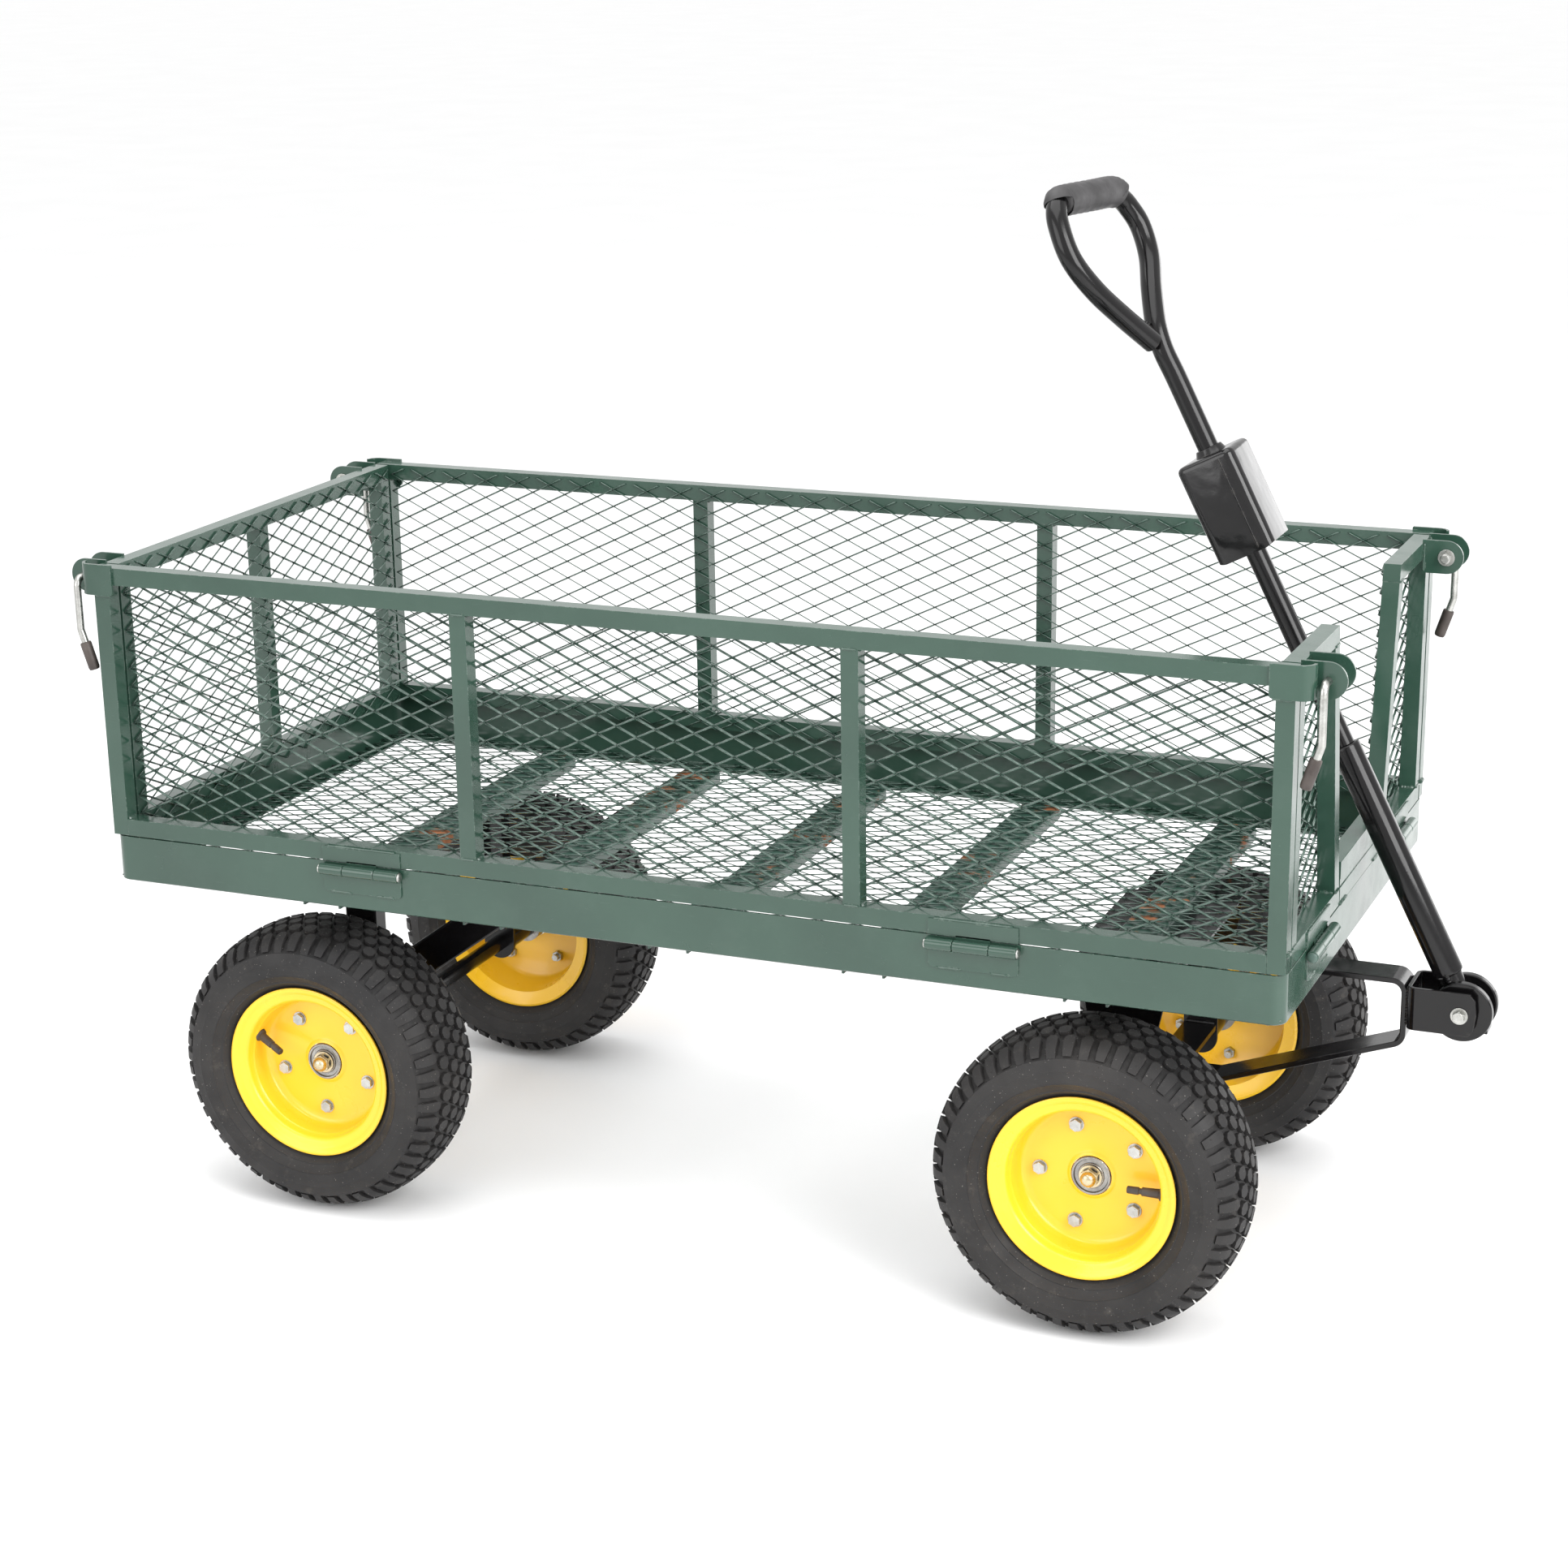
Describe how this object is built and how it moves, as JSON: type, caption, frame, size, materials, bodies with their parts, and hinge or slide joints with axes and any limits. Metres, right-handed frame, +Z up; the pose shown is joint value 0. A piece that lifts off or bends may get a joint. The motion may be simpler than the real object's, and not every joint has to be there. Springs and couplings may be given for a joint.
{
  "type": "tow behind cart",
  "caption": "Steel garden cart to pull by hand or tow: mesh bed with fold-down panels, corner latches, pneumatic wheels, swivelling front truck and a folding draw handle with a D grip.",
  "frame": {"origin": "on the floor, under the middle of the bounding box", "axes": "+X ahead towards the draw handle, +Y to the cart's left, +Z up"},
  "size_m": [1.4536, 0.6344, 1.0919],
  "materials": {
    "green": "gloss dark green enamel",
    "black": "gloss black enamel",
    "rim": "gloss yellow enamel",
    "tyre": "dull black rubber",
    "zinc": "zinc plated, satin",
    "grip": "dull black grip"
  },
  "bodies": {
    "chassis": {"bed_frame": "green", "bed_floor_mesh": "green", "front_sill": "green", "floor_channel_1": "green", "floor_channel_2": "green", "floor_channel_3": "green", "floor_channel_4": "green", "floor_channel_5": "green", "rear_leg_left": "black", "rear_leg_right": "black", "rear_axle": "black", "pivot_plate": "black", "kingpin": "zinc", "hinge_pin_left_rear": "zinc", "hinge_pin_left_front": "zinc", "hinge_pin_right_rear": "zinc", "hinge_pin_right_front": "zinc", "hinge_pin_rear_gate_left": "zinc", "hinge_pin_rear_gate_right": "zinc", "hinge_pin_front_gate_left": "zinc", "hinge_pin_front_gate_right": "zinc"},
    "left_side": {"left_side_frame": "green", "left_side_mesh": "green"},
    "right_side": {"right_side_frame": "green", "right_side_mesh": "green"},
    "rear_gate": {"rear_gate_frame": "green", "rear_gate_mesh": "green"},
    "front_gate_left": {"front_gate_left_frame": "green", "front_gate_left_mesh": "green"},
    "front_gate_right": {"front_gate_right_frame": "green", "front_gate_right_mesh": "green"},
    "latch_front_left": {"latch_front_left_lever": "zinc", "latch_front_left_grip": "grip"},
    "latch_front_right": {"latch_front_right_lever": "zinc", "latch_front_right_grip": "grip"},
    "latch_rear_left": {"latch_rear_left_lever": "zinc", "latch_rear_left_grip": "grip"},
    "latch_rear_right": {"latch_rear_right_lever": "zinc", "latch_rear_right_grip": "grip"},
    "truck": {"truck_frame": "black", "front_axle": "black", "tongue_yoke": "black", "clevis": "black", "clevis_bolt": "zinc"},
    "wheel_front_left": {"tyre_front_left": "tyre", "rim_front_left": "rim", "hub_front_left": "zinc"},
    "wheel_front_right": {"tyre_front_right": "tyre", "rim_front_right": "rim", "hub_front_right": "zinc"},
    "wheel_rear_left": {"tyre_rear_left": "tyre", "rim_rear_left": "rim", "hub_rear_left": "zinc"},
    "wheel_rear_right": {"tyre_rear_right": "tyre", "rim_rear_right": "rim", "hub_rear_right": "zinc"},
    "handle": {"handle_lower_tube": "black", "handle_shaft": "black", "handle_grip": "grip", "hitch_box": "black"}
  },
  "joints": [
    {"name": "left_side_hinge", "type": "hinge", "parent": "chassis", "child": "left_side", "pos_m": [0, 0.3115, 0.4035], "axis": [-1, 0, 0], "range_deg": [0, 150]},
    {"name": "right_side_hinge", "type": "hinge", "parent": "chassis", "child": "right_side", "pos_m": [0, -0.3115, 0.4035], "axis": [1, 0, 0], "range_deg": [0, 150]},
    {"name": "rear_gate_hinge", "type": "hinge", "parent": "chassis", "child": "rear_gate", "pos_m": [-0.69175, 0, 0.4035], "axis": [0, -1, 0], "range_deg": [0, 150]},
    {"name": "front_gate_left_hinge", "type": "hinge", "parent": "chassis", "child": "front_gate_left", "pos_m": [0.59125, 0, 0.4035], "axis": [0, 1, 0], "range_deg": [0, 100]},
    {"name": "front_gate_right_hinge", "type": "hinge", "parent": "chassis", "child": "front_gate_right", "pos_m": [0.59125, 0, 0.4035], "axis": [0, 1, 0], "range_deg": [0, 100]},
    {"name": "latch_front_left_pivot", "type": "hinge", "parent": "front_gate_left", "child": "latch_front_left", "pos_m": [0.60875, 0.3, 0.687], "axis": [0, -1, 0], "range_deg": [0, 120]},
    {"name": "latch_front_right_pivot", "type": "hinge", "parent": "front_gate_right", "child": "latch_front_right", "pos_m": [0.60875, -0.3, 0.687], "axis": [0, -1, 0], "range_deg": [0, 120]},
    {"name": "latch_rear_left_pivot", "type": "hinge", "parent": "rear_gate", "child": "latch_rear_left", "pos_m": [-0.70925, 0.3, 0.687], "axis": [0, 1, 0], "range_deg": [0, 120]},
    {"name": "latch_rear_right_pivot", "type": "hinge", "parent": "rear_gate", "child": "latch_rear_right", "pos_m": [-0.70925, -0.3, 0.687], "axis": [0, 1, 0], "range_deg": [0, 120]},
    {"name": "steering", "type": "hinge", "parent": "chassis", "child": "truck", "pos_m": [0.38675, 0, 0.33], "axis": [0, 0, 1], "range_deg": [-15, 15]},
    {"name": "wheel_front_left_axle", "type": "hinge", "parent": "truck", "child": "wheel_front_left", "pos_m": [0.38675, 0.242, 0.16], "axis": [0, 1, 0], "continuous": true},
    {"name": "wheel_front_right_axle", "type": "hinge", "parent": "truck", "child": "wheel_front_right", "pos_m": [0.38675, -0.242, 0.16], "axis": [0, 1, 0], "continuous": true},
    {"name": "wheel_rear_left_axle", "type": "hinge", "parent": "chassis", "child": "wheel_rear_left", "pos_m": [-0.47625, 0.242, 0.16], "axis": [0, 1, 0], "continuous": true},
    {"name": "wheel_rear_right_axle", "type": "hinge", "parent": "chassis", "child": "wheel_rear_right", "pos_m": [-0.47625, -0.242, 0.16], "axis": [0, 1, 0], "continuous": true},
    {"name": "handle_fold", "type": "hinge", "parent": "truck", "child": "handle", "pos_m": [0.69575, 0, 0.288], "axis": [0, 1, 0], "range_deg": [0, 130]}
  ]
}
